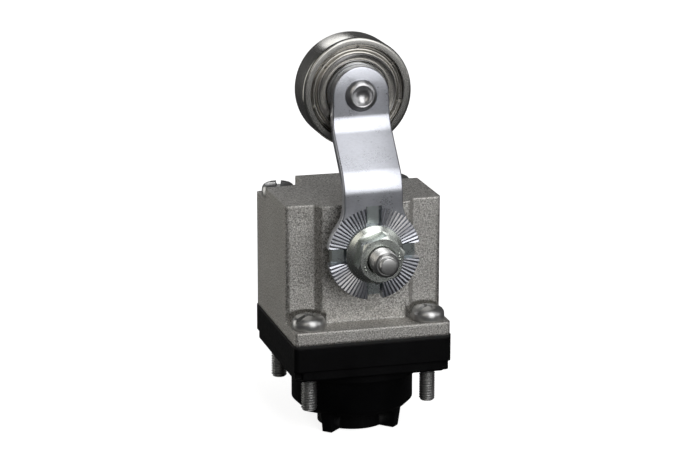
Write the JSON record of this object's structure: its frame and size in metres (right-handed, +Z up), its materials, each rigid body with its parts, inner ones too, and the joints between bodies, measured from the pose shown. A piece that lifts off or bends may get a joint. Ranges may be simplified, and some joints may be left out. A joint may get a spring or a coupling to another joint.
{
  "type": "limit switch operating head",
  "caption": "Limit switch operating head: ball bearing roller on a cranked lever, cam shaft and sprung plunger in a square die-cast housing on a black screw-on base.",
  "frame": {"origin": "centre of the seating face under the base plate, on the plunger axis, in the middle of the four mounting screws", "axes": "+Z up along the plunger axis towards the roller, +X along the front face, -Y towards the lever side, so the lever shaft lies along Y"},
  "size_m": [0.0304, 0.04, 0.0753],
  "materials": {
    "diecast_paint": "textured metallic paint on die-cast zinc",
    "black_plastic": "satin moulded thermoplastic",
    "seal_rubber": "matt",
    "bronze": "sintered bronze",
    "screw_steel": "dull passivated steel",
    "shaft_steel": "turned steel",
    "spring_steel": "drawn wire",
    "zinc_plate": "bright zinc plate with a blue tint",
    "nut_plate": "bright zinc plate with a pale green tint",
    "bearing_steel": "polished bearing steel",
    "roller_steel": "ground steel, satin",
    "shield_steel": "pressed bright steel"
  },
  "bodies": {
    "head": {"housing": "diecast_paint", "housing_gasket": "seal_rubber", "base_plate": "black_plastic", "plunger_guide": "black_plastic", "front_bush": "bronze", "rear_bush": "bronze", "shaft_seal": "seal_rubber", "front_screws": "screw_steel", "rear_screws": "screw_steel", "return_springs": "spring_steel"},
    "lever_shaft": {"shaft": "shaft_steel", "thrust_washer": "shaft_steel", "cam": "shaft_steel", "cam_pin": "shaft_steel", "retaining_ring": "spring_steel", "drive_washer": "zinc_plate", "lever": "zinc_plate", "lever_nut": "nut_plate", "roller_rivet": "bearing_steel", "roller_spacer": "bearing_steel", "roller_inner_ring": "bearing_steel"},
    "roller": {"roller_outer_ring": "roller_steel", "roller_shield_front": "shield_steel", "roller_shield_rear": "shield_steel"},
    "ball_cage": {"roller_cage": "bronze", "roller_balls": "bearing_steel"},
    "follower": {"follower": "shaft_steel", "follower_collar": "shaft_steel", "overtravel_spring": "spring_steel"},
    "plunger": {"plunger": "shaft_steel"}
  },
  "joints": [
    {"name": "lever_swing", "type": "hinge", "parent": "head", "child": "lever_shaft", "pos_m": [0, 0, 0.0241], "axis": [0, 1, 0], "range_deg": [-75, 75], "stiffness_Nm_per_rad": 0.12},
    {"name": "roller_spin", "type": "hinge", "parent": "lever_shaft", "child": "roller", "pos_m": [-0.00049, -0.002, 0.0523], "axis": [0, 1, 0], "continuous": true},
    {"name": "ball_cage_spin", "type": "hinge", "parent": "lever_shaft", "child": "ball_cage", "pos_m": [-0.00049, -0.002, 0.0523], "axis": [0, 1, 0], "continuous": true},
    {"name": "follower_slide", "type": "slide", "parent": "head", "child": "follower", "axis": [0, 0, -1], "range_m": [0, 0.0016], "stiffness_N_per_m": 900, "springref_m": -0.002, "deforming": ["return_springs"]},
    {"name": "plunger_slide", "type": "slide", "parent": "follower", "child": "plunger", "axis": [0, 0, 1], "range_m": [0, 0.0015], "stiffness_N_per_m": 1500, "springref_m": -0.002, "deforming": ["overtravel_spring"]}
  ],
  "couplings": [
    {"joint": "ball_cage_spin", "follows": "roller_spin", "ratio": 0.618}
  ]
}
